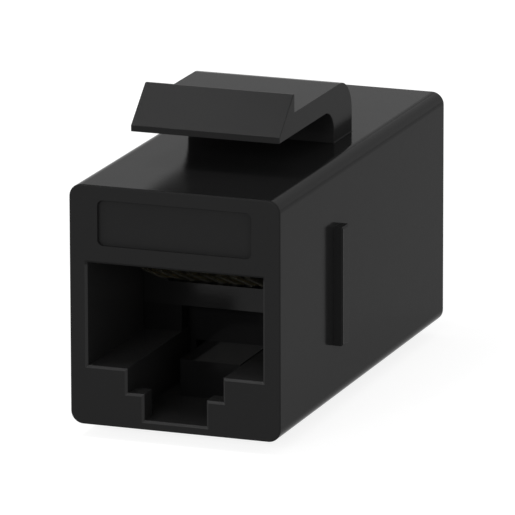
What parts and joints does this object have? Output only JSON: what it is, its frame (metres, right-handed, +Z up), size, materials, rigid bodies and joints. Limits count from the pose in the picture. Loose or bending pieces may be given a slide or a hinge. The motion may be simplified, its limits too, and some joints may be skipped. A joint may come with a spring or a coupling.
{
  "type": "network plug inline coupler",
  "caption": "Inline coupler that joins two eight-way network plugs end to end and snaps into a panel opening by a springy top latch.",
  "frame": {"origin": "below the middle of the body, level with the lowest face of the panel hook", "axes": "-Y out of the front port, +Y out of the rear port, +Z up towards the latch, +X to the right seen from the front"},
  "size_m": [0.0158, 0.0322, 0.022],
  "materials": {
    "shell": "moulded, glossy black",
    "latch": "moulded, glossy black",
    "carrier": "moulded, glossy black",
    "contact": "gold-plated spring wire",
    "board": "green circuit board"
  },
  "bodies": {
    "body": {"housing": "shell", "rear_cap": "shell", "front_carrier": "carrier", "rear_carrier": "carrier", "front_contact_leads": "contact", "rear_contact_leads": "contact", "circuit_board": "board"},
    "latch": {"latch_arm": "latch"},
    "front_contacts": {"front_contact_1": "contact", "front_contact_2": "contact", "front_contact_3": "contact", "front_contact_4": "contact", "front_contact_5": "contact", "front_contact_6": "contact", "front_contact_7": "contact", "front_contact_8": "contact"},
    "rear_contacts": {"rear_contact_1": "contact", "rear_contact_2": "contact", "rear_contact_3": "contact", "rear_contact_4": "contact", "rear_contact_5": "contact", "rear_contact_6": "contact", "rear_contact_7": "contact", "rear_contact_8": "contact"}
  },
  "joints": [
    {"name": "latch_press", "type": "hinge", "parent": "body", "child": "latch", "pos_m": [0, 0.00168, 0.01694], "axis": [1, 0, 0], "range_deg": [0, 9.5], "stiffness_Nm_per_rad": 0.4},
    {"name": "front_contact_lift", "type": "hinge", "parent": "body", "child": "front_contacts", "pos_m": [0, -0.01343, 0.0121], "axis": [1, 0, 0], "range_deg": [0, 12], "stiffness_Nm_per_rad": 0.27},
    {"name": "rear_contact_lift", "type": "hinge", "parent": "body", "child": "rear_contacts", "pos_m": [0, 0.01343, 0.0121], "axis": [-1, 0, 0], "range_deg": [0, 12], "stiffness_Nm_per_rad": 0.27}
  ]
}
